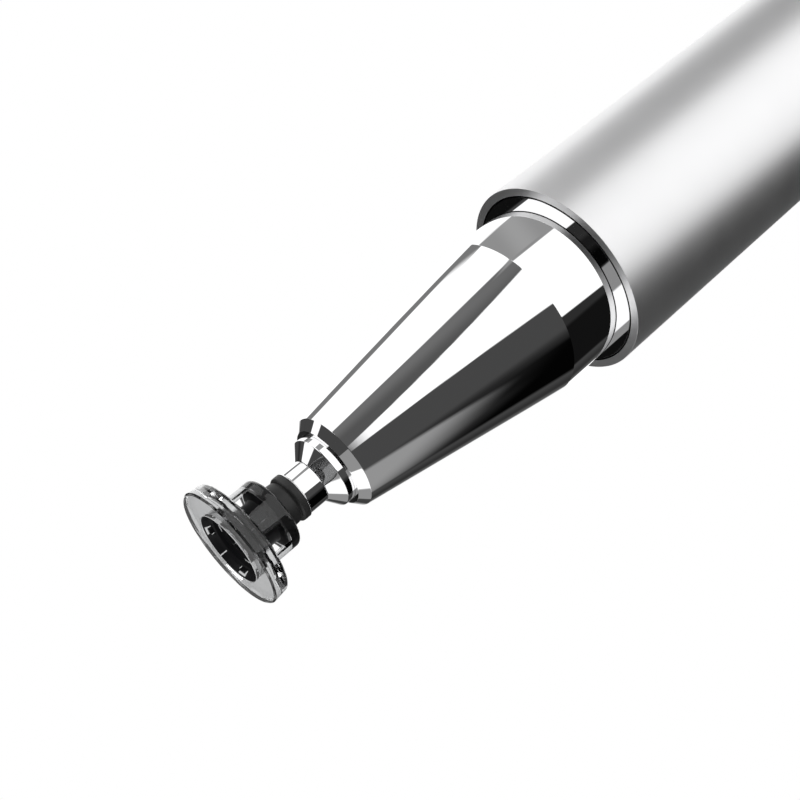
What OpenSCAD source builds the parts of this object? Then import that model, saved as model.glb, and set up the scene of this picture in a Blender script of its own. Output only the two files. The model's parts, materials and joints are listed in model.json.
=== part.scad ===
// Disc stylus with a ballpoint at its tail end, standing on its cap with the disc at the top.
// Everything is turned about the Z axis: z = 0 is the cap's flat end and +Z points to the disc.

/* [Barrel] */
// Outside diameter of the barrel
barrel_d = 10.5; // [9.8:0.1:12.5]
// Length of the barrel tube
barrel_len = 81.3; // [70:0.1:95]
// Width of the barrel's end face at its two collar seats
mouth_wall = 0.42; // [0.3:0.01:0.55]
// Wall of the barrel between the collar seats
barrel_wall = 1.0; // [0.8:0.05:1.2]
// Depth of the collar seats
collar_len = 10.5; // [8:0.5:12]

/* [Nose] */
// Diameter of the short cylinder behind the cone
nose_base_d = 8.66; // [8.2:0.02:8.8]
// Length of that cylinder with its foot
nose_base_len = 3.4; // [2.4:0.1:4.5]
// Diameter of the cone's front end
cone_end_d = 4.82; // [4.7:0.02:5.4]
// Length of the cone
cone_len = 11.56; // [11:0.05:14]
// Radial step of the polished front chamfer
front_chamfer = 0.41; // [0.3:0.01:0.45]
// Diameter of the thread that holds the nose
nose_thread_d = 6.6; // [6:0.1:7]

/* [Plunger and stud] */
// Diameter of the plunger where it leaves the nose
plunger_d = 3.58; // [3.3:0.02:3.6]
// Length of its straight part in front of the nose
land_len = 0.42; // [0.3:0.02:0.8]
// Length of its conical end
frustum_len = 0.57; // [0.4:0.01:0.8]
// Travel of the cushioned tip
plunger_travel = 1.2; // [0.6:0.1:1.6]
// Diameter of the stud's pin
pin_d = 2.18; // [1.9:0.02:2.4]
// Length of the pin in front of the plunger
pin_len = 1.08; // [0.9:0.02:1.6]
// Diameter of the stem that carries the ball
stem_d = 0.9; // [0.7:0.05:1]
// Diameter of the ball
ball_d = 1.7; // [1.6:0.02:1.8]
// Distance from the pin's end to the ball's centre
stem_len = 2.06; // [2.06:0.02:2.6]
// Width of the rubber bumper's rim
bumper_t = 0.4; // [0.3:0.02:0.4]

/* [Disc] */
// Diameter of the disc
disc_d = 6.0; // [5.6:0.1:7.5]
// Thickness of the disc
disc_t = 0.84; // [0.7:0.02:1.1]
// Outside diameter of the clear hub
hub_d = 3.56; // [3.5:0.02:3.9]
// Wall of the clear hub
hub_wall = 0.28; // [0.22:0.02:0.34]
// Width of each step in the hole through the disc
hole_step = 0.15; // [0.1:0.01:0.2]
// Number of fingers in the socket
finger_count = 4; // [3:1:5]
// Distance from the middle of the hub to the near edge of its windows
window_from = 0.62; // [0.55:0.01:0.8]
// Distance from the middle of the hub to the far edge of its windows
window_to = 1.4; // [1.2:0.02:1.44]

/* [Ballpoint] */
// Diameter of the refill's ink tube
refill_d = 2.35; // [2:0.05:2.6]
// Length of the refill over its point
refill_len = 67; // [62:1:70]
// Diameter of the writing ball
writing_ball_d = 0.7; // [0.5:0.1:1]
// Height of the writing ball's end above the cap's flat end
refill_z = 7.0; // [6.5:0.1:9]

/* [Cap] */
// Length of the cap
cap_len = 38.2; // [34:0.1:42]
// Step from the barrel's radius down to the cap's
cap_step = 0.2; // [0:0.05:0.3]
// Wall of the cap shell
cap_wall = 0.6; // [0.5:0.05:0.7]
// Thickness of the liner
liner_wall = 0.35; // [0.25:0.05:0.35]
// Thickness of the ring magnet
magnet_wall = 0.35; // [0.35:0.05:0.6]
// Width of the trim band between the cap and the barrel
trim_len = 1.0; // [0.6:0.1:2]

/* [Hidden] */
$fn = 96;
eps = 0.01;

// Clearances between pieces
press_gap = 0.02;    // between two pieces that are pressed or glued together
thread_gap = 0.04;   // between a thread and its hole
run_gap = 0.06;      // between a sliding or turning piece and its bore
cap_gap = 0.3;       // between the cap's inside and what it slides over
seat_gap = 0.05;     // between two faces that meet when a moving piece is at its stop
edge = 0.08;         // broken edges
joint_groove = 0.07; // depth and width of the groove round a collar's face

// Radii
barrel_r = barrel_d / 2;
cap_r = barrel_r - cap_step;
mouth_r = barrel_r - mouth_wall;
bore_r = barrel_r - barrel_wall;
nose_base_r = nose_base_d / 2;
cone_end_r = cone_end_d / 2;
nose_thread_r = nose_thread_d / 2;
plunger_r = plunger_d / 2;
pin_r = pin_d / 2;
stem_r = stem_d / 2;
ball_r = ball_d / 2;
disc_r = disc_d / 2;
hub_r = hub_d / 2;
refill_r = refill_d / 2;

// Heights, from the cap's flat end up
trim_z = cap_len + seat_gap;
barrel_z = trim_z + trim_len;
rim_z = barrel_z + barrel_len;
collar_proud = 0.1;
gasket_t = 0.12;
nose_z = rim_z + collar_proud + gasket_t;
crease_z = nose_z + nose_base_len;
cone_end_z = crease_z + cone_len;
nose_end_z = cone_end_z + front_chamfer;
land_z = nose_end_z + land_len;
frustum_z = land_z + frustum_len;
pin_z = frustum_z + pin_len;
ball_z = pin_z + stem_len;
hub_back = 0.95;
disc_rise = 0.9;
disc_z = ball_z + disc_rise;
face_z = disc_z + disc_t;

// Plunger and its bore in the nose
nose_mouth_r = cone_end_r - front_chamfer;
plunger_bore_r = plunger_r + run_gap;
flange_r = plunger_r + 0.22;
spring_bore_r = flange_r + run_gap;
flange_t = 1.2;
flange_z = nose_end_z - 4.8;
shoulder_z = flange_z + flange_t + seat_gap;
stud_shank_r = pin_r - 0.34;
stud_head_r = stud_shank_r + 0.42;
stud_head_t = 0.6;
spring_len = 8.6;
seat_len = 3.6;
seat_z = flange_z - spring_len;
nose_shank_len = 9;

// Ball socket and hub
socket_gap = 0.05;
cavity_r = ball_r + socket_gap;
lip_drop = 0.45;
lip_r = sqrt(pow(ball_r, 2) - pow(lip_drop, 2)) + 0.04;
mouth_flare = 0.36;
hub_bore_r = hub_r - hub_wall;
socket_r = hub_bore_r - press_gap;
waist_r = cavity_r + 0.26;
retainer_t = 0.08;
socket_z = ball_z - hub_back + retainer_t + press_gap;
waist_z = ball_z - 0.43;
crown_z = ball_z + 0.54;
socket_top_z = disc_z + disc_t / 3;
finger_slot = 0.26;
notch_w = 0.62;
notch_depth = 0.34;
notch_h = 0.4;
key_gap = 0.05;
shoulder_r = 0.24;
ledge_z = disc_z + disc_t / 2;
retainer_gap = 0.08;

// Ballpoint
tip_len = 9.5;
tip_cone_len = 4.2;
tip_shoulder_r = 0.75;
tube_wall = 0.32;
tip_spigot = 4;
tip_exposed = 2.6;
writing_end_z = refill_z + tip_exposed;
writing_end_r = 1.45;
writing_band = 4;
refill_bore_r = refill_r + run_gap;
refill_top_z = refill_z + refill_len;
refill_spring_len = 5.5;
ink_len = 40;
follower_len = 3;
writing_thread_r = 2.9;
writing_shank_len = 8;

// Core
core_r = bore_r - press_gap;
core_wall = 1.2;
core_z = barrel_z + collar_len + seat_gap;
core_top_z = rim_z - collar_len - seat_gap;
core_floor_z = refill_top_z + refill_spring_len;
core_floor_t = 2;

// Cap
cap_bore_r = cap_r - cap_wall;
magnet_len = 2.4;
magnet_r = cap_bore_r - press_gap;
magnet_bore_r = cap_bore_r - magnet_wall;
writing_base_r = magnet_bore_r - cap_gap;
liner_r = cap_bore_r - press_gap;
liner_bore_r = liner_r - liner_wall;
end_band = 1.6;
end_spigot = 2.2;
end_chamfer = 0.5;
liner_floor = 1.0;
liner_z = end_band + end_spigot + seat_gap;
liner_top_z = cap_len - magnet_len - seat_gap;

// A tube that stands on z0
module tube(r_out, r_in, z0, h) {
    translate([0, 0, z0])
        rotate_extrude()
            translate([r_in, 0])
                square([r_out - r_in, h]);
}

// Points of one ring of a round wire whose centre runs along a helix
function wire_ring(coil_r, wire_r, turn, z, sides) =
    let (a = 360 * turn)
    [for (k = [0 : sides - 1])
        let (b = 360 * k / sides, r = coil_r + wire_r * cos(b))
        [r * cos(a), r * sin(a), z + wire_r * sin(b)]];

// Height of a closed-end spring's wire after a share t of its turns
function spring_rise(t, dead) =
    t < dead ? 0 : t > 1 - dead ? 1 : (t - dead) / (1 - 2 * dead);

// A compression spring of round wire, its two ends wound flat
module coil_spring(coil_r, wire_r, turns, z0, h) {
    sides = 6;
    steps = turns * 16;
    dead = 0.75 / turns;
    lift = h - 2 * wire_r;
    flat_lift = 2.4 * wire_r;
    rings = [for (i = [0 : steps])
        let (t = i / steps,
             end_rise = flat_lift * (min(t / dead, 1) + max((t - 1 + dead) / dead, 0)),
             z = z0 + wire_r + end_rise + (lift - 2 * flat_lift) * spring_rise(t, dead))
        each wire_ring(coil_r, wire_r, turns * t, z, sides)];
    last = steps * sides;
    sides_faces = [for (i = [0 : steps - 1], k = [0 : sides - 1])
        let (a = i * sides + k, b = i * sides + (k + 1) % sides)
        each [[a, b, b + sides], [a, b + sides, a + sides]]];
    caps = concat([for (k = [1 : sides - 2]) [0, k + 1, k]],
                  [for (k = [1 : sides - 2]) [last, last + k, last + k + 1]]);
    polyhedron(rings, concat(sides_faces, caps));
}

// Copies of a shape at equal angles round the axis
module around(count, start = 0) {
    for (i = [0 : count - 1])
        rotate([0, 0, start + 360 * i / count])
            children();
}

// Clear disc with its stepped hole and its windowed hub
module touch_disc() {
    color([0.8, 0.82, 0.84, 0.5])
        difference() {
            union() {
                translate([0, 0, disc_z])
                    rotate_extrude()
                        polygon([[0, 0], [disc_r - edge, 0], [disc_r, edge],
                                 [disc_r, disc_t - edge], [disc_r - edge, disc_t], [0, disc_t]]);
                hub_body();
            }
            translate([0, 0, ball_z - hub_back + retainer_t])
                cylinder(r = hub_bore_r, h = ledge_z - ball_z + hub_back - retainer_t);
            translate([0, 0, ball_z - hub_back - eps])
                cylinder(r = socket_mouth_r() + retainer_gap, h = 1);
            translate([0, 0, ledge_z - eps])
                cylinder(r = hub_bore_r + hole_step, h = disc_t);
            translate([0, 0, (ledge_z + face_z) / 2])
                cylinder(r = hub_bore_r + 2 * hole_step, h = disc_t);
            hub_windows();
        }
    color([0.8, 0.82, 0.84, 0.5])
        hub_keys();
}

// Radius of the socket's flared mouth at its rear face
function socket_mouth_r() = lip_r + mouth_flare;

// The hub's outside, with a round rear shoulder
module hub_body() {
    rear_z = ball_z - hub_back;
    translate([0, 0, rear_z + shoulder_r])
        cylinder(r = hub_r, h = disc_z - rear_z - shoulder_r + eps);
    translate([0, 0, rear_z])
        cylinder(r = hub_r - shoulder_r, h = shoulder_r + eps);
    translate([0, 0, rear_z + shoulder_r])
        rotate_extrude()
            translate([hub_r - shoulder_r, 0])
                circle(r = shoulder_r, $fn = 48);
}

// Straight windows that leave one leg on each side of the hub
module hub_windows() {
    for (side = [0, 1])
        mirror([side, 0, 0])
            translate([window_from, -hub_r - 1, waist_z + 0.02])
                cube([window_to - window_from, 2 * hub_r + 2, crown_z - waist_z - 0.04]);
}

// Keys in the hub's bore that keep the socket from turning
module hub_keys() {
    key_w = notch_w - 2 * key_gap;
    key_depth = notch_depth - key_gap;
    around(finger_count, 180 / finger_count)
        intersection() {
            translate([hub_bore_r - key_depth, -key_w / 2, socket_top_z - notch_h + key_gap])
                cube([key_depth + hub_wall, key_w, notch_h - key_gap]);
            translate([0, 0, disc_z - 1])
                cylinder(r = hub_bore_r + hub_wall / 2, h = 2);
        }
}

// Black socket: a slotted crown of fingers that snaps over the ball
module ball_socket() {
    rear = socket_z - ball_z;
    top = socket_top_z - ball_z;
    color([0.09, 0.09, 0.1])
        translate([0, 0, ball_z])
            difference() {
                rotate_extrude()
                    polygon([[0, rear], [socket_r, rear], [socket_r, waist_z - ball_z],
                             [waist_r, waist_z - ball_z + 0.1], [waist_r, crown_z - ball_z - 0.1],
                             [socket_r, crown_z - ball_z], [socket_r, top - edge],
                             [socket_r - edge, top], [0, top]]);
                sphere(r = cavity_r, $fn = 64);
                translate([0, 0, rear - eps])
                    cylinder(r1 = socket_mouth_r(), r2 = lip_r, h = -lip_drop - rear + eps);
                translate([0, 0, -lip_drop - eps])
                    cylinder(r = lip_r, h = lip_drop);
                cylinder(r = cavity_r - 0.06, h = top + eps);
                around(finger_count)
                    translate([0, -finger_slot / 2, -0.2])
                        cube([socket_r + 1, finger_slot, top + 1]);
                around(finger_count, 180 / finger_count)
                    translate([socket_r - notch_depth, -notch_w / 2, top - notch_h])
                        cube([notch_depth + 1, notch_w, notch_h + 1]);
            }
}

// Polished stud: a headed shank, the pin with its flared lip, the stem and the ball
module ball_stud() {
    head_z = flange_z + eps;
    lip = 0.07;
    color([0.86, 0.87, 0.88]) {
        rotate_extrude()
            polygon([[0, head_z], [stud_head_r, head_z], [stud_head_r, head_z + stud_head_t],
                     [stud_shank_r, head_z + stud_head_t], [stud_shank_r, frustum_z + seat_gap],
                     [pin_r, frustum_z + seat_gap], [pin_r, pin_z - lip],
                     [pin_r + lip, pin_z - lip / 4], [pin_r + lip, pin_z], [stem_r, pin_z],
                     [stem_r, ball_z], [0, ball_z]]);
        translate([0, 0, ball_z])
            sphere(r = ball_r, $fn = 64);
    }
}

// Rubber bumper on the stem that the tilted hub meets, a rim with a shallow cone
module stud_bumper() {
    ring_r = pin_r + 0.06;
    bumper_r = stem_r + press_gap;
    nub = 0.24;
    color([0.12, 0.12, 0.12])
        translate([0, 0, pin_z])
            rotate_extrude()
                polygon([[bumper_r, 0], [ring_r, 0], [ring_r, bumper_t - edge],
                         [ring_r - edge, bumper_t], [ring_r - 0.2, bumper_t + 0.02],
                         [bumper_r + 0.05, bumper_t + 0.02 + nub],
                         [bumper_r, bumper_t + 0.02 + nub]]);
}

// Spring-loaded plunger with its flange, land and conical end
module plunger() {
    stud_bore_r = stud_shank_r + run_gap;
    head_bore_r = stud_head_r + run_gap;
    head_depth = stud_head_t + 2 * seat_gap;
    color([0.83, 0.84, 0.85])
        rotate_extrude()
            polygon([[head_bore_r, flange_z], [flange_r, flange_z],
                     [flange_r, flange_z + flange_t], [plunger_r, flange_z + flange_t],
                     [plunger_r, land_z], [pin_r + eps, frustum_z], [stud_bore_r, frustum_z],
                     [stud_bore_r, flange_z + head_depth], [head_bore_r, flange_z + head_depth]]);
}

// Spring that pushes the plunger out
module plunger_spring() {
    wire_r = 0.17;
    coil_r = flange_r - wire_r - 0.05;
    color([0.7, 0.72, 0.74])
        coil_spring(coil_r, wire_r, 7, seat_z, spring_len);
}

// Brass screw plug that the spring stands on, with a guide pin that stops the plunger
module spring_seat() {
    slot_w = 0.7;
    guide_r = 1.2;
    guide_len = spring_len - plunger_travel - seat_gap;
    color([0.78, 0.62, 0.3])
        difference() {
            union() {
                translate([0, 0, seat_z - seat_len])
                    cylinder(r = spring_bore_r - thread_gap, h = seat_len);
                translate([0, 0, seat_z - eps])
                    cylinder(r = guide_r, h = guide_len);
            }
            translate([-spring_bore_r, -slot_w / 2, seat_z - seat_len - eps])
                cube([2 * spring_bore_r, slot_w, 1.2]);
        }
}

// Polished nose: threaded shank, foot, short cylinder, cone, chamfer and the plunger's bore
module nose_cone() {
    foot_r = nose_base_r - 0.17;
    foot_len = 0.6;
    shank_z = nose_z - nose_shank_len;
    color([0.86, 0.87, 0.88])
        rotate_extrude()
            polygon([[spring_bore_r, shank_z], [nose_thread_r - 0.3, shank_z],
                     [nose_thread_r, shank_z + 0.3], [nose_thread_r, nose_z], [foot_r, nose_z],
                     [nose_base_r, nose_z + foot_len], [nose_base_r, crease_z],
                     [cone_end_r, cone_end_z], [nose_mouth_r, nose_end_z],
                     [plunger_bore_r, nose_end_z], [plunger_bore_r, shoulder_z],
                     [spring_bore_r, shoulder_z]]);
}

// Thin black gasket between the nose's foot and the collar's face
module nose_gasket() {
    color([0.05, 0.05, 0.05])
        tube(nose_base_r - 0.17, nose_thread_r + thread_gap, rim_z + collar_proud, gasket_t);
}

// Polished collar in the barrel's front mouth, with the thread for the nose
module front_collar() {
    face_z0 = rim_z + collar_proud;
    collar_r = mouth_r - press_gap;
    hole_r = nose_thread_r + thread_gap;
    color([0.84, 0.85, 0.86])
        rotate_extrude()
            polygon([[hole_r, rim_z - collar_len], [collar_r, rim_z - collar_len],
                     [collar_r, face_z0 - 2 * joint_groove],
                     [collar_r - joint_groove, face_z0], [hole_r, face_z0]]);
}

// Aluminium barrel with a wider seat at each end
module barrel() {
    seat_taper = mouth_r - bore_r;
    color([0.77, 0.78, 0.79])
        translate([0, 0, barrel_z])
            rotate_extrude()
                polygon([[mouth_r, 0], [barrel_r - edge, 0], [barrel_r, edge],
                         [barrel_r, barrel_len - edge / 2], [barrel_r - edge / 2, barrel_len],
                         [mouth_r, barrel_len], [mouth_r, barrel_len - collar_len],
                         [bore_r, barrel_len - collar_len - seat_taper],
                         [bore_r, collar_len + seat_taper], [mouth_r, collar_len]]);
}

// Brass sleeve that guides the refill and weights the barrel
module core_sleeve() {
    taper = mouth_r - bore_r;
    color([0.78, 0.62, 0.3])
        rotate_extrude()
            polygon([[refill_bore_r, core_z + taper], [core_r, core_z + taper],
                     [core_r, core_top_z - taper], [core_r - core_wall, core_top_z - taper],
                     [core_r - core_wall, core_floor_z + core_floor_t],
                     [0, core_floor_z + core_floor_t], [0, core_floor_z],
                     [refill_bore_r, core_floor_z]]);
}

// Small spring that keeps the refill forward
module refill_spring() {
    wire_r = 0.12;
    coil_r = refill_r - wire_r;
    color([0.7, 0.72, 0.74])
        coil_spring(coil_r, wire_r, 5, refill_top_z, refill_spring_len);
}

// Ink tube of the refill
module refill_tube() {
    bottom_z = refill_z + tip_len - tip_spigot;
    color([0.85, 0.85, 0.85, 0.6])
        tube(refill_r, refill_r - tube_wall, bottom_z, refill_top_z - bottom_z);
}

// Ink in the tube
module refill_ink() {
    color([0.08, 0.09, 0.12])
        translate([0, 0, refill_z + tip_len])
            cylinder(r = refill_r - tube_wall - press_gap, h = ink_len);
}

// Grease plug that follows the ink
module ink_follower() {
    color([0.85, 0.8, 0.6, 0.7])
        translate([0, 0, refill_z + tip_len + ink_len])
            cylinder(r = refill_r - tube_wall - press_gap, h = follower_len);
}

// Metal point of the refill, with its spigot in the tube
module refill_tip() {
    ball_r2 = writing_ball_d / 2;
    nib_r = ball_r2 + 0.08;
    seat_h = ball_r2 * 0.8;
    spigot_z = refill_z + tip_len - tip_spigot;
    color([0.8, 0.8, 0.78])
        difference() {
            rotate_extrude()
                polygon([[0, refill_z + seat_h], [nib_r, refill_z + seat_h],
                         [tip_shoulder_r, refill_z + tip_exposed],
                         [refill_r - 0.25, refill_z + tip_cone_len],
                         [refill_r, refill_z + tip_cone_len + 0.3], [refill_r, spigot_z],
                         [refill_r - tube_wall - press_gap, spigot_z],
                         [refill_r - tube_wall - press_gap, refill_z + tip_len],
                         [0, refill_z + tip_len]]);
            translate([0, 0, refill_z + ball_r2])
                sphere(r = ball_r2 + press_gap, $fn = 48);
            translate([0, 0, refill_z + ball_r2])
                cylinder(r = 0.15, h = tip_len);
        }
}

// Carbide ball that writes
module refill_ball() {
    color([0.6, 0.6, 0.62])
        translate([0, 0, refill_z + writing_ball_d / 2])
            sphere(r = writing_ball_d / 2, $fn = 48);
}

// Grip cone of the ballpoint, screwed into the rear collar
module writing_nose() {
    shoulder = cap_len - writing_band;
    tip_hole_r = tip_shoulder_r + run_gap;
    tip_seat_z = refill_z + tip_cone_len + 0.3;
    color([0.84, 0.85, 0.86])
        rotate_extrude()
            polygon([[tip_hole_r, writing_end_z], [writing_end_r - 0.2, writing_end_z],
                     [writing_end_r, writing_end_z + 0.2], [writing_base_r - 1.2, shoulder - 14],
                     [writing_base_r - 0.25, shoulder], [writing_base_r, shoulder + 0.25],
                     [writing_base_r, trim_z], [writing_thread_r, trim_z],
                     [writing_thread_r, trim_z + writing_shank_len],
                     [refill_bore_r, trim_z + writing_shank_len],
                     [refill_bore_r, tip_seat_z], [tip_hole_r, refill_z + tip_exposed + seat_gap]]);
}

// Trim band and threaded seat at the barrel's rear mouth
module rear_collar() {
    hole_r = writing_thread_r + thread_gap;
    collar_r = mouth_r - press_gap;
    band_r = barrel_r - cap_step / 2;
    color([0.84, 0.85, 0.86])
        rotate_extrude()
            polygon([[hole_r, trim_z], [band_r - edge, trim_z], [band_r, trim_z + edge],
                     [band_r, barrel_z], [collar_r, barrel_z],
                     [collar_r, barrel_z + collar_len - 0.4],
                     [collar_r - 0.4, barrel_z + collar_len], [hole_r, barrel_z + collar_len]]);
}

// Ring magnet at the cap's mouth
module cap_magnet() {
    color([0.5, 0.5, 0.52])
        tube(magnet_r, magnet_bore_r, cap_len - magnet_len, magnet_len - seat_gap);
}

// Plastic cup that lines the cap
module cap_liner() {
    color([0.15, 0.15, 0.16])
        rotate_extrude()
            polygon([[0, liner_z], [liner_r, liner_z], [liner_r, liner_top_z],
                     [liner_bore_r, liner_top_z], [liner_bore_r, liner_z + liner_floor],
                     [0, liner_z + liner_floor]]);
}

// Aluminium tube of the cap
module cap_shell() {
    shell_len = cap_len - end_band;
    color([0.77, 0.78, 0.79])
        translate([0, 0, end_band])
            rotate_extrude()
                polygon([[cap_bore_r, 0], [cap_r, 0], [cap_r, shell_len - edge],
                         [cap_r - edge, shell_len], [cap_bore_r, shell_len]]);
}

// Polished end plug that the pen stands on
module cap_end() {
    spigot_r = cap_bore_r - press_gap;
    color([0.84, 0.85, 0.86])
        rotate_extrude()
            polygon([[0, 0], [cap_r - end_chamfer, 0], [cap_r, end_chamfer],
                     [cap_r, end_band], [spigot_r, end_band],
                     [spigot_r, end_band + end_spigot], [spigot_r - 1.2, end_band + end_spigot],
                     [spigot_r - 1.2, end_band], [0, end_band]]);
}

touch_disc();
ball_socket();
ball_stud();
stud_bumper();
plunger();
plunger_spring();
spring_seat();
nose_cone();
nose_gasket();
front_collar();
barrel();
core_sleeve();
refill_spring();
refill_tube();
refill_ink();
ink_follower();
refill_tip();
refill_ball();
writing_nose();
rear_collar();
cap_magnet();
cap_liner();
cap_shell();
cap_end();
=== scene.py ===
import json
import math
import bpy
from mathutils import Matrix, Vector


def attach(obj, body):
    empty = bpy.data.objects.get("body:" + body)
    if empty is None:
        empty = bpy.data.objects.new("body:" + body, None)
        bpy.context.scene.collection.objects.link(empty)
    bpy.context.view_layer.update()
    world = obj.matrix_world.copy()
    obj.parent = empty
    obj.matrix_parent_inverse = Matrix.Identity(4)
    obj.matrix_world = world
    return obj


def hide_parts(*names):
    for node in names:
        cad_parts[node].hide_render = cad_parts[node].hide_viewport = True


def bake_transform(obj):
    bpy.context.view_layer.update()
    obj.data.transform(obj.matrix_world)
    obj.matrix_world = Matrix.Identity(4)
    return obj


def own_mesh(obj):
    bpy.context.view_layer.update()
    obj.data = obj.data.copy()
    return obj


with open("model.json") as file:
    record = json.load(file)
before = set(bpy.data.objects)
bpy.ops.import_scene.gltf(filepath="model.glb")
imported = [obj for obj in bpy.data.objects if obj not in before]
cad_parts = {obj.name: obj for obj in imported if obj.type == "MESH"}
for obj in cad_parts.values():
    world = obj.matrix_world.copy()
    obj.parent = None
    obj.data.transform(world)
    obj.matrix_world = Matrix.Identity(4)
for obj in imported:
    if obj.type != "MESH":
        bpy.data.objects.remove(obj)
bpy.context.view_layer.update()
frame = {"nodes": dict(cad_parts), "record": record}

mm = 0.001
print("stylus: frame loaded, nodes", len(frame["nodes"]))


def placed(name, data):                                # a new object in the scene
    thing = bpy.data.objects.new(name, data)
    bpy.context.collection.objects.link(thing)
    return thing


cameraSettings = {
    "aside": 0.27, "back": 52.5, "height": 155.24,     # where it stands, in mm from the pen's foot
    "lookDown": 24.55, "roll": -129.45,                # degrees
    "lens": 55.87, "sensor": 36.0,
    "nearest": 0.002, "farthest": 20.0,                # metres
}


def photoCamera():
    cam = bpy.data.cameras.new("photoCamera")
    cam.lens, cam.sensor_width = cameraSettings["lens"], cameraSettings["sensor"]
    cam.clip_start, cam.clip_end = cameraSettings["nearest"], cameraSettings["farthest"]
    camera = placed("photoCamera", cam)
    place = Vector((cameraSettings["aside"], -cameraSettings["back"], cameraSettings["height"])) * mm
    level = Matrix.Rotation(math.radians(90 - cameraSettings["lookDown"]), 4, "X")
    rolled = Matrix.Rotation(math.radians(cameraSettings["roll"]), 4, "Z")
    camera.matrix_world = Matrix.Translation(place) @ level @ rolled
    bpy.context.scene.camera = camera


photoCamera()
bpy.context.scene.view_settings.view_transform = "Standard"
print("stylus: camera placed")


class Wire:                                            # one output on its way through a shader
    def __init__(self, sheet, socket):
        self.sheet, self.socket = sheet, socket

    def math(self, operation, *values):
        return self.sheet.add("ShaderNodeMath", {"operation": operation}, dict(enumerate(values)))

    def __add__(self, other): return self.math("ADD", self, other)
    def __sub__(self, other): return self.math("SUBTRACT", self, other)
    def __rsub__(self, other): return self.math("SUBTRACT", other, self)
    def __mul__(self, other): return self.math("MULTIPLY", self, other)
    def __pow__(self, other): return self.math("POWER", self, other)
    def __neg__(self): return self.math("MULTIPLY", self, -1.0)

    def atLeast(self, other): return self.math("MAXIMUM", self, other)

    def rise(self, start, end):                        # 0 before start, 1 after end, smooth between
        return self.sheet.add("ShaderNodeMapRange", {"interpolation_type": "SMOOTHSTEP"},
                              {"Value": self, "From Min": start, "From Max": end})


class Sheet:                                           # a node tree that is written as expressions
    def __init__(self, tree):
        self.tree = tree
        tree.nodes.clear()

    def add(self, kind, settings=None, sockets=None, output=0):
        node = self.tree.nodes.new(kind)
        for name, value in (settings or {}).items():
            setattr(node, name, value)
        for name, value in (sockets or {}).items():
            socket = node.inputs[name]
            if isinstance(value, Wire):
                self.tree.links.new(value.socket, socket)
            else:
                socket.default_value = value
        return Wire(self, node.outputs[output])

    def finish(self, kind, shader):
        node = self.tree.nodes.new(kind)
        self.tree.links.new(shader.socket, node.inputs["Surface"])


def axesOf(sheet, vector):                             # the three parts of a vector
    parts = sheet.add("ShaderNodeSeparateXYZ", None, {0: vector}).socket.node
    return [Wire(sheet, parts.outputs[axis]) for axis in range(3)]


def rayKinds(sheet):                                   # what the camera sees, also through plastic; what is mirrored
    path = sheet.add("ShaderNodeLightPath").socket.node
    camera, through, glossy = (Wire(sheet, path.outputs[kind])
                               for kind in ("Is Camera Ray", "Is Transmission Ray", "Is Glossy Ray"))
    return camera.atLeast(through), glossy


studioSettings = {
    "cameraWhite": 1.0, "fill": 0.75, "sky": 0.06,     # seen by the camera, lights dull pieces, mirrored elsewhere
    # level, left edge, right edge, lowest, highest, softness; degrees, edges as (at the horizon, per degree up);
    # a later panel covers an earlier one
    "panels": [
        (0.30, (-181, 0), (-60.5, 0.95), 12, 91, 2),   # grey ceiling half
        (0.0015, (-26, 0), (4, 0), 2, 50, 5),          # dark gap over the camera
        (0.012, (0, 0), (22, 0), 2, 50, 14),
        (0.028, (21, 0), (46, 0), 2, 50, 12),
        (0.005, (142, 0), (181, 0), 18, 55, 10),
        (0.005, (-181, 0), (-163, 0), 18, 55, 5),
        (0.055, (-181, 0), (-147, 0), -2, 12, 2),
        (0.30, (166, 0), (181, 0), 9, 18, 3),
        (1.25, (-128, 0), (-54.5, -0.3), 33, 64, 4),   # overhead soft box
        (0.065, (-56, 0), (0, 0), -24, 3, 3),
        (0.028, (-60, 0), (0, 0), -91, -24, 4),
        (0.02, (-90, 0), (-58, 0), -29, -3, 14),       # dark streak on the cone
        (0.001, (-120, 0), (-67, 0), -91, -14, 8),
        (0.0065, (-120, 0), (-57, 0), -91, -29, 6),
        (1.25, (-116, 0), (-63, 0), 8, 40, 4),
        (0.32, (-117, 0), (-46, 2), -11.8, 6, 7),      # soft lower edge of that panel on the cone's dark side
        (0.095, (0, 0), (56, 0), -20, 4, 2),
        (0.165, (36, 0), (60, 0), -20, 4, 22),
        (1.25, (51, -0.22), (114, 0), -91, 38, 2),     # right soft box
        (1.25, (51, -0.22), (58, 2), 29, 38, 2),
        (1.25, (104, 0), (131, 0), 33, 54, 2),
        (1.25, (110, 0), (181, 0), -91, -1, 2),
        (0.30, (50, 0), (-3, -3.67), -34, -14, 3),     # grey wedge that opens downward
        (0.30, (50, 0), (120, 0), -91, -33, 3),
        (0.2, (126.5, 0.75), (174, 2.5), -24, -2, 3),  # thin grey line on the cone's bright side
        (0.2, (101, 0), (174, 2.5), -24, -19.6, 2),
        (1.25, (-2, 1.25), (1, -2.3), -19, -3, 2),     # white front panel
        (1.25, (-2, 1.25), (54, 0), -91, -18, 2),
        (0.032, (-181, 0), (-130, 0), -91, 0, 20),
        (0.095, (-181, 0), (-148, 0), -91, -4, 14),
        (0.38, (-181, 0), (-162, 0), -91, -4, 10),
        (1.25, (-181, 0), (-160, 0), -91, -29.5, 5),
    ],
}


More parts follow.
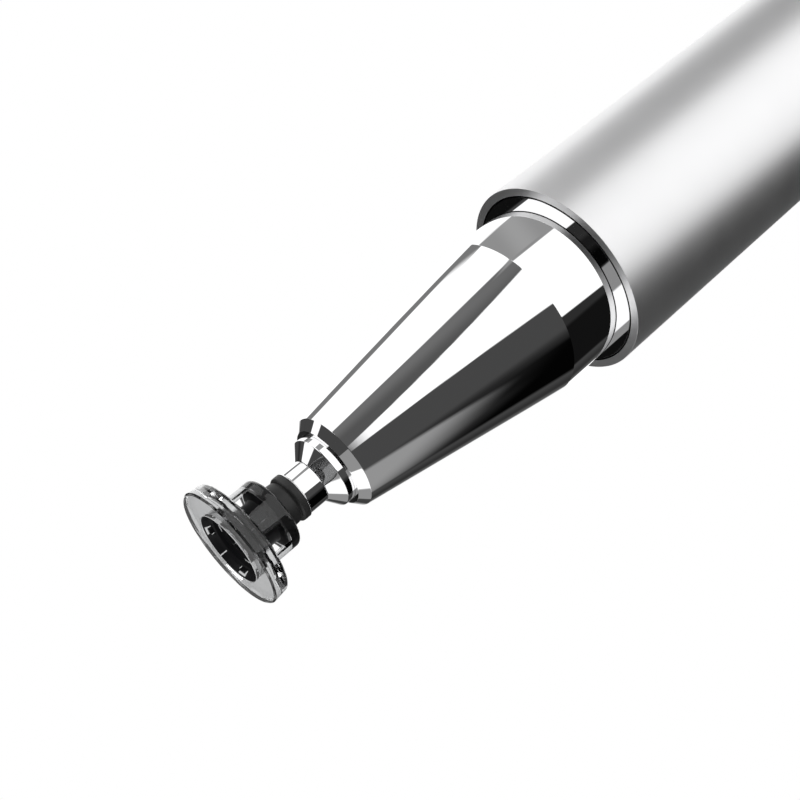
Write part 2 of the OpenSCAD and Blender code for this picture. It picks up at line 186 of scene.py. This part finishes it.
def studioWorld():
    world = bpy.data.worlds.new("studioSurround")
    bpy.context.scene.world = world
    world.use_nodes = True
    sheet = Sheet(world.node_tree)
    x, y, z = axesOf(sheet, sheet.add("ShaderNodeTexCoord"))
    azimuth = x.math("ARCTAN2", x, -y) * math.degrees(1)
    elevation = z.math("ARCSINE", z) * math.degrees(1)
    level = studioSettings["sky"]
    for shade, left, right, lowest, highest, softness in studioSettings["panels"]:
        soft = softness / 2
        inLeft = (azimuth - (elevation * left[1] + left[0])).rise(-soft, soft)
        inRight = ((elevation * right[1] + right[0]) - azimuth).rise(-soft, soft)
        inside = inLeft * inRight * (elevation - lowest).rise(-soft, soft) * (highest - elevation).rise(-soft, soft)
        level = sheet.add("ShaderNodeMix", {"data_type": "FLOAT"}, {"Factor": inside, "A": level, "B": shade})
    mirrored = sheet.add("ShaderNodeBackground", None, {"Color": level, "Strength": 1.0})
    plain, white = (sheet.add("ShaderNodeBackground", None, {"Color": (1, 1, 1, 1), "Strength": studioSettings[name]})
                    for name in ("fill", "cameraWhite"))
    seen, glossy = rayKinds(sheet)
    lit = sheet.add("ShaderNodeMixShader", None, {0: seen, 1: plain, 2: white})
    sheet.finish("ShaderNodeOutputWorld", sheet.add("ShaderNodeMixShader", None, {0: glossy, 1: lit, 2: mirrored}))


studioWorld()

lampSettings = {
    "aim": (0, 0, 0.09),                               # metres, like the places and sizes
    "keyLamp": {"place": (0.35, -0.35, 0.45), "size": 0.35, "watts": 2.4},
    "fillLamp": {"place": (-0.45, -0.2, 0.3), "size": 0.4, "watts": 1.2},
}


def lamp(name):
    settings = lampSettings[name]
    data = bpy.data.lights.new(name, "AREA")
    data.size, data.energy = settings["size"], settings["watts"]
    light = placed(name, data)
    light.location = settings["place"]
    light.rotation_mode = "QUATERNION"
    light.rotation_quaternion = (Vector(lampSettings["aim"]) - Vector(settings["place"])).to_track_quat("-Z", "Y")
    light.visible_glossy = False


lamp("keyLamp")
lamp("fillLamp")

floorSettings = {
    "height": -0.0422,                                 # the cap comes down to here when it is pulled off
    "reach": 6.0, "tone": 0.86,
    "shadedTo": 0.03, "whiteFrom": 0.15,               # how far from the pen the shaded floor turns plain white
}


def objectPlace(sheet):
    return sheet.add("ShaderNodeTexCoord", output=3)


def floorMaterial():
    material = bpy.data.materials.new("paleFloor")
    material.use_nodes = True
    sheet = Sheet(material.node_tree)
    away = sheet.add("ShaderNodeVectorMath", {"operation": "LENGTH"}, {0: objectPlace(sheet)}, output=1)
    far = away.rise(floorSettings["shadedTo"], floorSettings["whiteFrom"])
    matt = sheet.add("ShaderNodeBsdfDiffuse", None, {"Color": (*[floorSettings["tone"]] * 3, 1)})
    white = sheet.add("ShaderNodeEmission", None, {"Color": (1, 1, 1, 1), "Strength": 1.0})
    sheet.finish("ShaderNodeOutputMaterial",
                 sheet.add("ShaderNodeMixShader", None, {0: rayKinds(sheet)[0] * far, 1: matt, 2: white}))
    return material


def paleFloor():
    mesh = bpy.data.meshes.new("paleFloor")
    reach = floorSettings["reach"]
    mesh.from_pydata([(-reach, -reach, 0), (reach, -reach, 0), (reach, reach, 0), (-reach, reach, 0)],
                     [], [(0, 1, 2, 3)])
    floor = placed("paleFloor", mesh)
    floor.location.z = floorSettings["height"]
    floor.data.materials.append(floorMaterial())
    floor.visible_glossy = False


paleFloor()
print("stylus: studio ready")


def principled(name, color, metallic=0.0, roughness=0.5, sockets=None):
    material = bpy.data.materials.new(name)
    material.use_nodes = True
    sheet = Sheet(material.node_tree)
    plain = {"Base Color": (*color, 1.0), "Metallic": metallic, "Roughness": roughness}
    plain.update(sockets or {})
    return material, sheet, plain


def closeMaterial(sheet, sockets):
    sheet.finish("ShaderNodeOutputMaterial", sheet.add("ShaderNodeBsdfPrincipled", None, sockets))


def noise(sheet, scale, detail):
    return sheet.add("ShaderNodeTexNoise", None, {"Vector": objectPlace(sheet), "Scale": scale, "Detail": detail})


def bump(sheet, height, distance, strength):
    return sheet.add("ShaderNodeBump", None, {"Height": height, "Distance": distance, "Strength": strength})


def aboutAxis(sheet):                                  # how far from the pen's axis, and how high, in mm
    x, y, z = axesOf(sheet, objectPlace(sheet))
    return ((x * x + y * y) ** 0.5) * 1000.0, z * 1000.0


def shaded(sheet, mask, tone, dark=0.012):             # the tone, with painted shade where the mask is 1
    return sheet.add("ShaderNodeMix", {"data_type": "RGBA"}, {0: mask, 6: (*tone, 1.0), 7: (dark, dark, dark, 1.0)},
                     output=2)


chromeSettings = {
    "tone": (0.9, 0.9, 0.905), "mirror": 0.012, "smear": 0.022,
    "smears": (900.0, 3.0), "polishing": (5200.0, 2.0),  # noises as (scale, detail)
    "smearRise": (0.45, 0.8),
    "relief": (1.2e-7, 0.5),                           # (depth in metres, strength)
    "gapShadeAcross": (4.742, 4.748), "gapShadeUp": (120.1, 120.15),  # where the mask of the painted gap shade rises, in mm
}


def polishedChrome(name, paintGapShade=False):               # the flag paints shade into the base colour of the narrow gap round the collar
    material, sheet, sockets = principled(name, chromeSettings["tone"], 1.0)
    smear = noise(sheet, *chromeSettings["smears"]).rise(*chromeSettings["smearRise"])
    sockets["Roughness"] = smear * chromeSettings["smear"] + chromeSettings["mirror"]
    if paintGapShade:
        # painted shade: the chrome in the narrow gap between collar and barrel is darkened in its colour
        radius, height = aboutAxis(sheet)
        gap = radius.rise(*chromeSettings["gapShadeAcross"]) * height.rise(*chromeSettings["gapShadeUp"])
        sockets["Base Color"] = shaded(sheet, gap, chromeSettings["tone"])
    sockets["Normal"] = bump(sheet, noise(sheet, *chromeSettings["polishing"]), *chromeSettings["relief"])
    closeMaterial(sheet, sockets)
    return material


barrelFinish = {
    "tone": (0.86, 0.86, 0.865), "satin": 0.4, "cloud": 0.05, "rim": 0.4,
    "grains": (26000.0, 1.0), "clouds": (700.0, 3.0), "relief": (1.5e-6, 0.6),
    # in mm: where the rim turns rougher, and where the painted shade at the mouth of the bore rises
    "rimUp": (120.50, 120.54), "mouthShadeAcross": (4.842, 4.835), "mouthShadeUp": (120.2, 120.25),
}


def satinAluminium():
    material, sheet, sockets = principled("satinAluminium", barrelFinish["tone"], 1.0)
    grain = noise(sheet, *barrelFinish["grains"])
    cloud = noise(sheet, *barrelFinish["clouds"])
    radius, height = aboutAxis(sheet)
    # painted shade: the top of the bore, the outer wall of the gap round the collar, is darkened in the base colour
    rim = height.rise(*barrelFinish["rimUp"])
    mouthShade = radius.rise(*barrelFinish["mouthShadeAcross"]) * height.rise(*barrelFinish["mouthShadeUp"])
    sockets["Base Color"] = shaded(sheet, mouthShade, barrelFinish["tone"])
    satin = cloud * barrelFinish["cloud"] + barrelFinish["satin"]
    sockets["Roughness"] = satin + rim * (barrelFinish["rim"] - satin)
    sockets["Normal"] = bump(sheet, grain, *barrelFinish["relief"])
    closeMaterial(sheet, sockets)
    return material


plasticSettings = {
    "tint": (0.6, 0.605, 0.61), "index": 1.49, "polish": 0.03, "haze": 0.02,
    "hazes": (1500.0, 2.0), "hazeRise": (0.5, 0.9),
    # where and how dark the painted shade on the disc's top edge is
    "rimAcross": (2.9, 2.93), "rimUp": (141.9, 141.93), "edgeShadeTone": 0.1,
}


def clearPlastic():
    material, sheet, sockets = principled("clearPlastic", plasticSettings["tint"], sockets={
        "Transmission Weight": 1.0, "IOR": plasticSettings["index"]})
    haze = noise(sheet, *plasticSettings["hazes"]).rise(*plasticSettings["hazeRise"])
    sockets["Roughness"] = haze * plasticSettings["haze"] + plasticSettings["polish"]
    radius, height = aboutAxis(sheet)
    # painted shade: the chamfer round the disc's top edge is darkened, standing in for the dark line that edge shows
    edgeShade = radius.rise(*plasticSettings["rimAcross"]) * height.rise(*plasticSettings["rimUp"])
    sockets["Base Color"] = shaded(sheet, edgeShade, plasticSettings["tint"], plasticSettings["edgeShadeTone"])
    closeMaterial(sheet, sockets)
    return material


acetalSettings = {
    "tone": (0.005, 0.005, 0.0055), "shine": 0.1, "roughness": 0.27, "cloud": 0.16,
    "clouds": (3000.0, 3.0), "grains": (9000.0, 2.0), "relief": (2e-6, 0.5),
}


def blackAcetal():
    material, sheet, sockets = principled("blackAcetal", acetalSettings["tone"],
                                          sockets={"Specular IOR Level": acetalSettings["shine"]})
    cloud = noise(sheet, *acetalSettings["clouds"])
    sockets["Roughness"] = cloud * acetalSettings["cloud"] + acetalSettings["roughness"]
    sockets["Normal"] = bump(sheet, noise(sheet, *acetalSettings["grains"]), *acetalSettings["relief"])
    closeMaterial(sheet, sockets)
    return material


rubberSettings = {"tone": (0.009, 0.009, 0.009), "roughness": 0.5, "grains": (8000.0, 3.0), "relief": (4e-6, 0.6)}


def blackRubber():
    material, sheet, sockets = principled("blackRubber", rubberSettings["tone"], 0.0, rubberSettings["roughness"])
    sockets["Normal"] = bump(sheet, noise(sheet, *rubberSettings["grains"]), *rubberSettings["relief"])
    closeMaterial(sheet, sockets)
    return material


turningSettings = {"scale": 9000.0, "detail": 2.0, "vary": 0.08, "relief": (2e-6, 0.5)}


def turnedMetal(name, color, roughness):               # fine rings across the axis
    material, sheet, sockets = principled(name, color, 1.0)
    rings = sheet.add("ShaderNodeTexNoise", {"noise_dimensions": "1D"}, {
        "W": axesOf(sheet, objectPlace(sheet))[2], "Scale": turningSettings["scale"],
        "Detail": turningSettings["detail"]})
    sockets["Roughness"] = rings * turningSettings["vary"] + roughness
    sockets["Normal"] = bump(sheet, rings, *turningSettings["relief"])
    closeMaterial(sheet, sockets)
    return material


mouldingSettings = {"clouds": (2000.0, 2.0), "vary": 0.1}


def softPlastic(name, color, roughness, sockets=None):
    material, sheet, plain = principled(name, color, 0.0, roughness, sockets)
    plain["Roughness"] = noise(sheet, *mouldingSettings["clouds"]) * mouldingSettings["vary"] + roughness
    closeMaterial(sheet, plain)
    return material


finishes = {
    "polished_chrome": polishedChrome("polishedChrome"),
    "satin_aluminium": satinAluminium(),
    "clear_plastic": clearPlastic(),
    "black_acetal": blackAcetal(),
    "black_rubber": blackRubber(),
    "spring_steel": turnedMetal("springSteel", (0.6, 0.6, 0.62), 0.25),
    "brass": turnedMetal("turnedBrass", (0.78, 0.6, 0.3), 0.28),
    "point_steel": turnedMetal("pointSteel", (0.72, 0.71, 0.67), 0.22),
    "carbide": turnedMetal("carbideBall", (0.5, 0.5, 0.52), 0.12),
    "magnet": turnedMetal("magnetNickel", (0.62, 0.61, 0.58), 0.2),
    "tube_plastic": softPlastic("milkyTube", (0.82, 0.83, 0.82), 0.35, {"Transmission Weight": 0.5, "IOR": 1.49}),
    "ink": softPlastic("blackInk", (0.008, 0.008, 0.012), 0.1),
    "grease": softPlastic("amberGrease", (0.75, 0.66, 0.4), 0.15, {"Transmission Weight": 0.4}),
    "liner_plastic": softPlastic("linerPlastic", (0.03, 0.03, 0.033), 0.4),
}

for part in frame["record"]["subparts"]:
    node = frame["nodes"][part["node"]]
    node.data.materials.clear()
    node.data.materials.append(finishes[part["material_slot"]])
print("stylus: finishes set")

softening = {
    "onAxis": 1e-6,                                    # a smaller radius is a point on the axis, in mm
    "flatBelow": 8,                                    # degrees of turn under which a corner is left alone
    "reachShare": 0.3, "steps": 4,                     # the most that a rounding takes of a side
    "hold": 0.02, "holdShare": 0.1,                    # the narrow flat beside it, which keeps the side's shading
}


def softenedProfile(points, bevel):                    # rounds the corners of a closed outline, keeps its flats true
    outline = [Vector(point) for point in points]
    softened = []
    for number, corner in enumerate(outline):
        before, after = outline[number - 1] - corner, outline[(number + 1) % len(outline)] - corner
        turn = math.pi - before.angle(after)
        if corner.x < softening["onAxis"] or turn < math.radians(softening["flatBelow"]):
            softened.append(corner)
            continue
        reach = min(bevel, softening["reachShare"] * before.length, softening["reachShare"] * after.length)
        hold = min(softening["hold"], softening["holdShare"] * before.length, softening["holdShare"] * after.length)
        before.normalize()
        after.normalize()
        softened.append(corner + before * (reach + hold))
        for step in range(softening["steps"]):
            s = step / (softening["steps"] - 1)
            softened.append(corner + before * (reach * (1 - s) ** 2) + after * (reach * s * s))
        softened.append(corner + after * (reach + hold))
    return softened


def turnedMesh(name, outline, sides):                  # turns a closed outline of (radius, height) in mm about Z
    vertices, rings, faces = [], [], []
    for radius, height in outline:
        if radius < softening["onAxis"]:
            rings.append([len(vertices)] * sides)
            vertices.append((0.0, 0.0, height * mm))
            continue
        rings.append(list(range(len(vertices), len(vertices) + sides)))
        for side in range(sides):
            angle = 2 * math.pi * side / sides
            vertices.append((radius * mm * math.cos(angle), radius * mm * math.sin(angle), height * mm))
    for number, ring in enumerate(rings):
        following = rings[(number + 1) % len(rings)]
        if ring[0] == ring[1] and following[0] == following[1]:
            continue
        for side in range(sides):
            beside = (side + 1) % sides
            corners = []
            for vertex in (ring[side], ring[beside], following[beside], following[side]):
                if vertex not in corners:
                    corners.append(vertex)
            faces.append(corners)
    mesh = bpy.data.meshes.new(name)
    mesh.from_pydata(vertices, [], faces)
    mesh.validate()
    mesh.shade_smooth()
    return mesh


def turnedPiece(name, settings, material):
    outline = softenedProfile(settings["outline"], settings["bevel"])
    piece = placed(name, turnedMesh(name, outline, settings.get("sides", 192)))
    piece.data.materials.append(material)
    return piece


def arc(radius, height, start, end, steps):            # points of a circle about the axis, angles from level up
    return [(max(radius * math.cos(a), 0.0), height + radius * math.sin(a))
            for a in (math.radians(start + (end - start) * step / steps) for step in range(steps + 1))]


bodyOf = {node: body for body, nodes in frame["record"]["behaviour"]["bodies"].items() for node in nodes}
slotOf = {part["node"]: part["material_slot"] for part in frame["record"]["subparts"]}


def standsFor(piece, node):
    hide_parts(node)
    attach(piece, bodyOf[node])


barrelSettings = {"bevel": 0.012, "outline": [
    (4.83, 39.25), (5.17, 39.25), (5.25, 39.33), (5.25, 120.55), (4.83, 120.55), (4.83, 110.05),
    (4.25, 109.47), (4.25, 50.33), (4.83, 49.75)]}
frontCollarSettings = {"bevel": 0.008, "outline": [
    (3.34, 110.05), (4.81, 110.05), (4.81, 120.2), (4.75, 120.2), (4.75, 120.55), (3.34, 120.55)]}
noseGasketSettings = {"bevel": 0.02, "outline": [(3.34, 120.555), (4.16, 120.555), (4.16, 120.765), (3.34, 120.765)]}
noseSettings = {"bevel": 0.006, "outline": [
    (2.07, 111.77), (3.0, 111.77), (3.3, 112.07), (3.3, 120.77), (4.18, 120.77), (4.18, 120.53), (4.33, 120.53),
    (4.33, 124.17), (2.41, 135.73), (2.0, 136.14), (1.8, 136.14), (1.8, 132.59), (2.07, 132.59)]}
plungerSettings = {"bevel": 0.02, "outline": [
    (1.23, 131.36), (2.01, 131.36), (2.01, 132.54), (1.79, 132.54), (1.79, 136.56), (1.1, 137.13), (0.81, 137.13),
    (0.81, 132.04), (1.23, 132.04)]}
rearCollarSettings = {"bevel": 0.02, "outline": [
    (2.94, 38.25), (5.07, 38.25), (5.15, 38.33), (5.15, 39.25), (4.81, 39.25), (4.81, 49.35), (4.41, 49.75),
    (2.94, 49.75)]}
writingNoseSettings = {"bevel": 0.05, "outline": [
    (0.81, 9.65), (0.83, 9.6), (1.25, 9.6), (1.45, 9.8), (2.6, 20.2), (3.55, 34.2), (3.8, 34.45), (3.8, 38.25),
    (2.9, 38.25), (2.9, 46.25), (1.235, 46.25), (1.235, 11.5)]}
capShellSettings = {"bevel": 0.03, "outline": [
    (4.45, 1.6), (5.05, 1.6), (5.05, 38.12), (4.97, 38.2), (4.45, 38.2)]}
capEndSettings = {"bevel": 0.04, "outline": [
    (0, 0), (4.55, 0), (5.05, 0.5), (5.05, 1.6), (4.43, 1.6), (4.43, 3.8), (3.23, 3.8), (3.23, 1.6), (0, 1.6)]}
bootSettings = {"bevel": 0.03, "sides": 128, "bendFrom": 138.7, "bendTo": 139.34, "outline": [
    (0.47, 138.21), (1.15, 138.21), (1.16, 138.36), (1.15, 138.53), (1.09, 138.6), (1.01, 138.63), (1.05, 138.7),
    (1.06, 138.8), (1.07, 138.92), (1.09, 139.04), (1.1, 139.16), (1.12, 139.36), (0.98, 139.36), (0.95, 139.16),
    (0.94, 139.04), (0.93, 138.92), (0.92, 138.8), (0.9, 138.72), (0.52, 138.66), (0.47, 138.62)]}
studSettings = {
    "bevel": 0.015, "sides": 128, "ball": 0.85, "ballHeight": 140.27, "stem": 0.45, "ballSteps": 26,
    "shank": [(0, 131.35), (1.17, 131.35), (1.17, 131.95), (0.75, 131.95), (0.75, 137.145), (1.09, 137.145),
              (1.09, 138.14), (1.16, 138.19), (1.16, 138.21), (0.45, 138.21)],
}
studFoot = math.degrees(math.acos(studSettings["stem"] / studSettings["ball"]))
studSettings["outline"] = studSettings["shank"] + arc(
    studSettings["ball"], studSettings["ballHeight"], -studFoot, 90, studSettings["ballSteps"])
pointBallSettings = {"bevel": 0.03, "sides": 64, "outline": arc(0.35, 7.35, -90, 90, 24)}

# the collar's chrome, with painted shade in the gap round it
collarChromeGapShade = polishedChrome("collarChromeGapShade", True)
for name, settings, node in (
        ("satinBarrel", barrelSettings, "barrel"),
        ("mirrorCollar", frontCollarSettings, "front_collar"),
        ("noseSeal", noseGasketSettings, "nose_gasket"),
        ("mirrorNose", noseSettings, "nose_cone"),
        ("mirrorPlunger", plungerSettings, "plunger"),
        ("trimBand", rearCollarSettings, "rear_collar"),
        ("gripCone", writingNoseSettings, "writing_nose"),
        ("pointBall", pointBallSettings, "refill_ball"),
        ("capTube", capShellSettings, "cap_shell"),
        ("capPlug", capEndSettings, "cap_end"),
        ("ballStud", studSettings, "ball_stud")):
    material = collarChromeGapShade if node == "front_collar" else finishes[slotOf[node]]
    standsFor(turnedPiece(name, settings, material), node)

coil = placed("plungerCoil", frame["nodes"]["plunger_spring"].data.copy())
coil.matrix_world = frame["nodes"]["plunger_spring"].matrix_world.copy()
standsFor(coil, "plunger_spring")
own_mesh(coil)

boot = turnedPiece("rubberBoot", bootSettings, finishes["black_rubber"])
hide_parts("stud_bumper")
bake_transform(boot)
print("stylus: turned pieces made")


def block(inner, deep, width, low, tall, turn=0.0):    # to cut or join with: from inner outward, turned about Z
    corners = [(inner + deep * i, -width / 2 + width * j, low + tall * k)
               for k in (0, 1) for j in (0, 1) for i in (0, 1)]
    faces = [(0, 2, 3, 1), (4, 5, 7, 6), (0, 1, 5, 4), (2, 6, 7, 3), (0, 4, 6, 2), (1, 3, 7, 5)]
    mesh = bpy.data.meshes.new("block")
    turned = Matrix.Rotation(math.radians(turn), 3, "Z")
    mesh.from_pydata([turned @ Vector(corner) * mm for corner in corners], [], faces)
    return mesh


def fitted(piece, blocks, operation):                  # cuts the blocks out of the piece, or joins them to it
    tools = [placed("block", mesh) for mesh in blocks]
    for tool in tools:
        change = piece.modifiers.new("fit", "BOOLEAN")
        change.operation, change.object, change.solver = operation, tool, "EXACT"
    ready = piece.evaluated_get(bpy.context.evaluated_depsgraph_get())
    mesh = bpy.data.meshes.new_from_object(ready)
    piece.modifiers.clear()
    piece.data = mesh
    for tool in tools:
        bpy.data.objects.remove(tool)


def smoothed(piece, edgeAngle):                        # smooth faces with sharp edges
    piece.data.shade_smooth()
    piece.data.set_sharp_from_angle(angle=math.radians(edgeAngle))
    return piece


discSettings = {
    "bevel": 0.008, "sides": 160, "edgeAngle": 32,
    "foot": (1.2, 139.32), "shoulder": (1.54, 139.56), "shoulderRadius": 0.24, "shoulderStep": 6,
    "upper": [(1.78, 141.17), (2.86, 141.17), (2.92, 141.23), (3.0, 141.93), (2.92, 142.01), (1.8, 142.01),
              (1.8, 141.8), (1.65, 141.8), (1.65, 141.59), (1.5, 141.59), (1.5, 141.3), (1.17, 141.3),
              (1.17, 140.78), (1.5, 140.78), (1.5, 139.4), (1.2, 139.4)],
    "windowFrom": 0.62, "windowTo": 1.4, "windowLow": 139.86, "windowHigh": 140.79, "windowCut": 6,
    "keys": 4, "firstKey": 45, "keyInner": 1.21, "keyOuter": 1.6, "keyWidth": 0.52,
    "keyLow": 141.25, "keyHigh": 141.45,
}


def touchDisc():
    sizes = discSettings
    radius, height = sizes["shoulder"]
    angles = [math.radians(a) for a in range(0, 91, sizes["shoulderStep"])]
    shoulder = [(radius + sizes["shoulderRadius"] * math.sin(a), height - sizes["shoulderRadius"] * math.cos(a))
                for a in angles]
    piece = turnedPiece("clearDisc", {**sizes, "outline": [sizes["foot"]] + shoulder + sizes["upper"]},
                        finishes["clear_plastic"])
    windows = [block(near, sizes["windowTo"] - sizes["windowFrom"], sizes["windowCut"], sizes["windowLow"],
                     sizes["windowHigh"] - sizes["windowLow"]) for near in (sizes["windowFrom"], -sizes["windowTo"])]
    fitted(piece, windows, "DIFFERENCE")
    keys = [block(sizes["keyInner"], sizes["keyOuter"] - sizes["keyInner"], sizes["keyWidth"], sizes["keyLow"],
                  sizes["keyHigh"] - sizes["keyLow"], sizes["firstKey"] + 360 * number / sizes["keys"])
            for number in range(sizes["keys"])]
    fitted(piece, keys, "UNION")
    return smoothed(piece, sizes["edgeAngle"])


socketSettings = {
    "bevel": 0.02, "sides": 160, "edgeAngle": 32,
    "outside": [(1.121, 139.39), (1.51, 139.39), (1.51, 139.84), (1.11, 139.95), (1.08, 140.15), (1.08, 141.2),
                (1.16, 141.29), (1.51, 141.29), (1.51, 141.37), (1.43, 141.45), (0.84, 141.45)],
    "cavity": (0.9, 140.27, 21.0, -30.3, 14),          # as the function arc takes it
    "slots": 4, "slotWidth": 0.02, "slotLow": 140.07, "through": 3,
    "notchInner": 1.22, "notchWidth": 0.5, "notchLow": 141.26,
    "tabInner": 1.52, "tabDeep": 0.14, "tabWidth": 0.3, "tabLow": 141.64, "tabHigh": 141.86,
}
liningSettings = {
    "bevel": 0.012, "sides": 148,                      # other sides than the crown's, so that no edges coincide
    "outline": [(1.4, 141.33), (1.492, 141.33), (1.492, 141.58), (1.642, 141.58), (1.642, 141.79), (1.792, 141.79),
                (1.792, 141.985), (1.73, 141.985), (1.58, 141.72), (1.44, 141.62), (1.42, 141.44)],
    "cutInner": 1.2, "cutDeep": 1, "slit": 0.05, "slitLow": 141.66, "slitTall": 1,
    "pocket": 0.56, "pocketLow": 141.66, "pocketHigh": 141.94,
}


def liningMesh(turns, middles):                        # the thin fingers that line the disc's hole
    sizes = liningSettings
    ring = placed("lining", turnedMesh("lining", softenedProfile(sizes["outline"], sizes["bevel"]), sizes["sides"]))
    cuts = []
    for turn, middle in zip(turns, middles):
        cuts.append(block(sizes["cutInner"], sizes["cutDeep"], sizes["slit"], sizes["slitLow"], sizes["slitTall"],
                          turn))
        cuts.append(block(sizes["cutInner"], sizes["cutDeep"], sizes["pocket"], sizes["pocketLow"],
                          sizes["pocketHigh"] - sizes["pocketLow"], middle))
    fitted(ring, cuts, "DIFFERENCE")
    mesh = ring.data
    bpy.data.objects.remove(ring)
    return mesh


def ballSocket():
    sizes = socketSettings
    piece = turnedPiece("socketCrown", {**sizes, "outline": sizes["outside"] + arc(*sizes["cavity"])},
                        finishes["black_acetal"])
    turns = [360 * number / sizes["slots"] for number in range(sizes["slots"])]
    middles = [turn + 180 / sizes["slots"] for turn in turns]
    cuts, tabs = [], []
    for turn, middle in zip(turns, middles):
        cuts.append(block(0, sizes["through"], sizes["slotWidth"], sizes["slotLow"], sizes["through"], turn))
        cuts.append(block(sizes["notchInner"], sizes["through"], sizes["notchWidth"], sizes["notchLow"],
                          sizes["through"], middle))
        tabs.append(block(sizes["tabInner"], sizes["tabDeep"], sizes["tabWidth"], sizes["tabLow"],
                          sizes["tabHigh"] - sizes["tabLow"], middle))
    fitted(piece, cuts, "DIFFERENCE")
    fitted(piece, [liningMesh(turns, middles)] + tabs, "UNION")
    return smoothed(piece, sizes["edgeAngle"])


standsFor(touchDisc(), "touch_disc")
standsFor(ballSocket(), "ball_socket")
print("stylus: disc and socket made")
